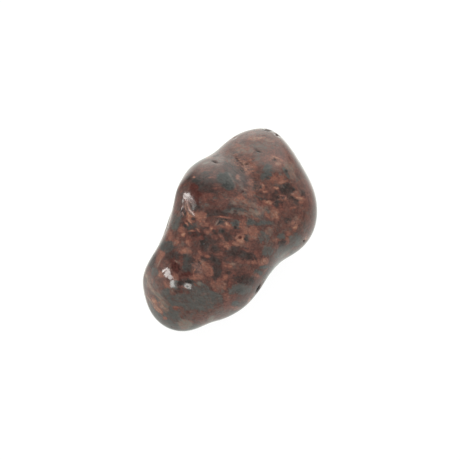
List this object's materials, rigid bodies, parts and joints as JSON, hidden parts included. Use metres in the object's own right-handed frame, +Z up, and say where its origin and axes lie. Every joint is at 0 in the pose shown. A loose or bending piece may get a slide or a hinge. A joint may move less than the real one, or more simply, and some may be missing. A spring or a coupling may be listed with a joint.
{
  "type": "tumbled bronzite stone",
  "caption": "Loose polished tumbled bronzite pebble: a long, gently lobed brown stone that lies on its flattest side.",
  "frame": {"origin": "on the flat that the stone rests on, near the middle of the stone's outline", "axes": "+Z up from the resting flat, +Y along the stone's length from its narrow foot to its broad head, +X to the side of the cheek bulge"},
  "size_m": [0.0229, 0.0376, 0.0178],
  "materials": {
    "polished_bronzite": "polished"
  },
  "bodies": {
    "root": {"stone": "polished_bronzite"}
  },
  "joints": []
}
